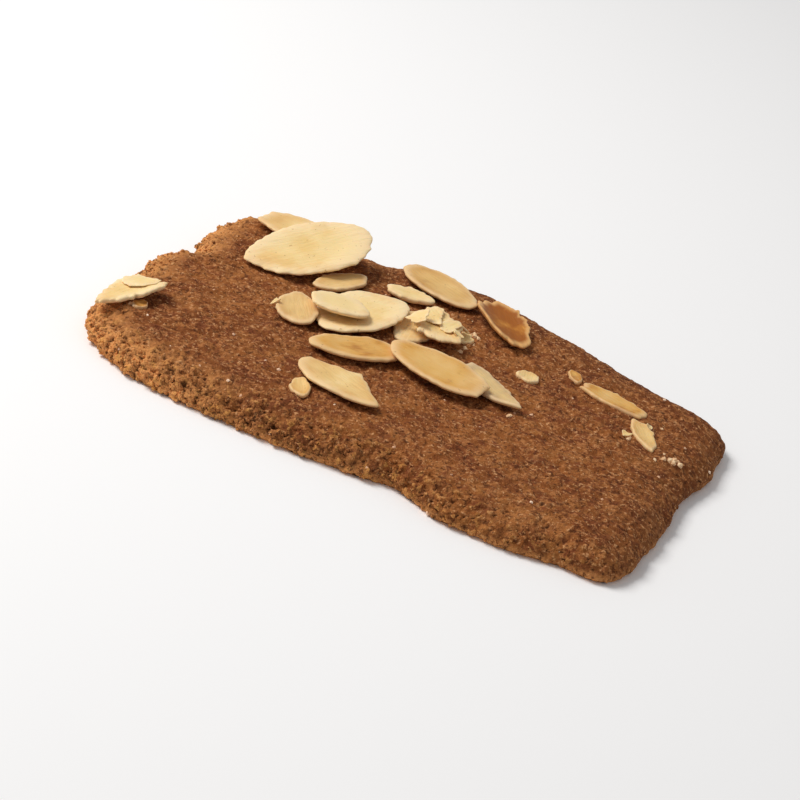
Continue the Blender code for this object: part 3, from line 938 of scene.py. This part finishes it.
def almond_material(name):
    """Pale cream to brown with the slice's toast, greyer with its painted shade, and paler at its rim."""
    material, tree, shader = new_material(name, 0.5, 0.25)
    lies = attribute(tree, "lies").outputs["Vector"]
    toast = attribute(tree, "toast").outputs["Fac"]
    shade_grey = attribute(tree, "shade_grey").outputs["Fac"]
    along, across, ring = add_node(tree, "ShaderNodeSeparateXYZ", {0: lies}).outputs
    drawn_out = calc(tree, "MULTIPLY", along, FIBRES_DRAWN_OUT)
    stretched = add_node(tree, "ShaderNodeCombineXYZ", {0: drawn_out, 1: across}).outputs[0]
    fibres = cloud(tree, stretched, FIBRES_PER_MM, 3.0, 0.6)
    blotches = cloud(tree, lies, BLOTCHES_PER_MM, 2.0)
    slow = cloud(tree, lies, SLOW_PER_MM, 1.0)
    shade = toasted_shade(
        tree, toast, (slow, SLOW_HEAT), (blotches, BLOTCHY_HEAT), (fibres, FIBRE_HEAT)
    )
    # painted shade: greys the shaded slices, in blotches
    greyed = calc(tree, "MULTIPLY", shade_grey, ramp(tree, blotches, 0.38, 0.62, 0.6, 1.2), clamp=True)
    colour = rim_and_middle(tree, blend(tree, greyed, shade, ALMOND_SHADE_GREY), ring, toast)
    specks = ramp(tree, cloud(tree, lies, 1 / SPECK_SIZE, 2.0), 0.68, 0.74, 0.0, SPECK_SHARE)
    colour = blend(tree, specks, colour, SPECK_BROWN)
    shader.inputs["Subsurface Weight"].default_value = 0.15
    shader.inputs["Subsurface Radius"].default_value = (1.0, 0.6, 0.3)
    shader.inputs["Subsurface Scale"].default_value = 0.6 * MM
    paint(tree, shader, colour, fibres, 0.14 * MM)
    return material


def grain_material(name, dark, light):
    material, tree, shader = new_material(name, 0.5, 0.2)
    place = scaled(tree, add_node(tree, "ShaderNodeTexCoord").outputs["Object"], 1 / MM)
    shade = ramp(tree, cloud(tree, place, 1 / 0.9, 2.0), 0.4, 0.6)
    paint(tree, shader, blend(tree, shade, dark, light), cloud(tree, place, 1 / 0.2, 2.0), 0.05 * MM)
    return material


def floor_material():
    material, tree, shader = new_material("pale_floor", 0.9, 0.1)
    shader.inputs["Base Color"].default_value = (0.99, 0.99, 1.0, 1)
    return material


# The studio


def add_floor():
    mesh = bmesh.new()
    bmesh.ops.create_grid(mesh, x_segments=1, y_segments=1, size=2.0)
    floor = add_piece("floor", mesh, floor_material(), Matrix.Identity(4))


def add_light(name, place, size, power, colour):
    """A square soft light at a place in millimetres, aimed at the middle of the cookie."""
    data = bpy.data.lights.new(name, "AREA")
    data.size = size * MM
    data.energy = power
    data.color = colour
    light = bpy.data.objects.new(name, data)
    light.location = Vector(place) * MM
    light.rotation_euler = Vector(place).to_track_quat("Z", "Y").to_euler()
    bpy.context.scene.collection.objects.link(light)


def add_lights():
    world = bpy.data.worlds.new("studio")
    world.use_nodes = True
    background = world.node_tree.nodes["Background"]
    background.inputs["Color"].default_value = (1.0, 1.0, 1.0, 1)
    background.inputs["Strength"].default_value = SKY_STRENGTH
    bpy.context.scene.world = world
    add_light("key", KEY_PLACE, KEY_SIZE, KEY_POWER, KEY_COLOUR)
    bpy.context.scene.view_settings.view_transform = "Standard"


def add_camera():
    data = bpy.data.cameras.new("camera")
    data.lens, data.sensor_width = LENS, SENSOR
    data.clip_start, data.clip_end = 0.01, 10.0
    camera = bpy.data.objects.new("camera", data)
    azimuth, elevation = math.radians(VIEW_AZIMUTH), math.radians(VIEW_ELEVATION)
    back = Vector((
        math.sin(azimuth) * math.cos(elevation),
        -math.cos(azimuth) * math.cos(elevation),
        math.sin(elevation),
    ))
    camera.location = (Vector(VIEW_TARGET) + back * VIEW_DISTANCE) * MM
    roll = Matrix.Rotation(math.radians(VIEW_ROLL), 4, "Z")
    camera.rotation_euler = ((-back).to_track_quat("-Z", "Y").to_matrix().to_4x4() @ roll).to_euler()
    bpy.context.scene.collection.objects.link(camera)
    bpy.context.scene.camera = camera


def main():
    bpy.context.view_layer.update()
    add_camera()
    add_floor()
    add_lights()

    dough_finish = dough_material()
    almond_finish = almond_material("almond_cream")
    toasted_finish = almond_material("almond_toasted")

    dough = make_dough(dough_finish)
    chips = make_laid_on("almond_chips", BAKED_IN, tree_of(dough), BAKED_DEPTH, almond_finish)
    slots = {dough: "dough", chips: "almond"}
    for piece in (dough, chips):
        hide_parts("biscuit")
    for almond in LOOSE:
        toasted = almond.name in TOASTED_SLICES
        piece = make_loose_slice(almond, toasted_finish if toasted else almond_finish)
        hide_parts(almond.name)
        slots[piece] = "almond_toasted" if toasted else "almond"
    flakes = make_laid_on("almond_flakes", flake_slices(), tree_of(*slots), 0.0, almond_finish)
    slots[flakes] = "almond"
    slots.update(scatter_crumbs(dough, dough_finish))
    for piece, slot in slots.items():
        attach(piece, "root")


main()
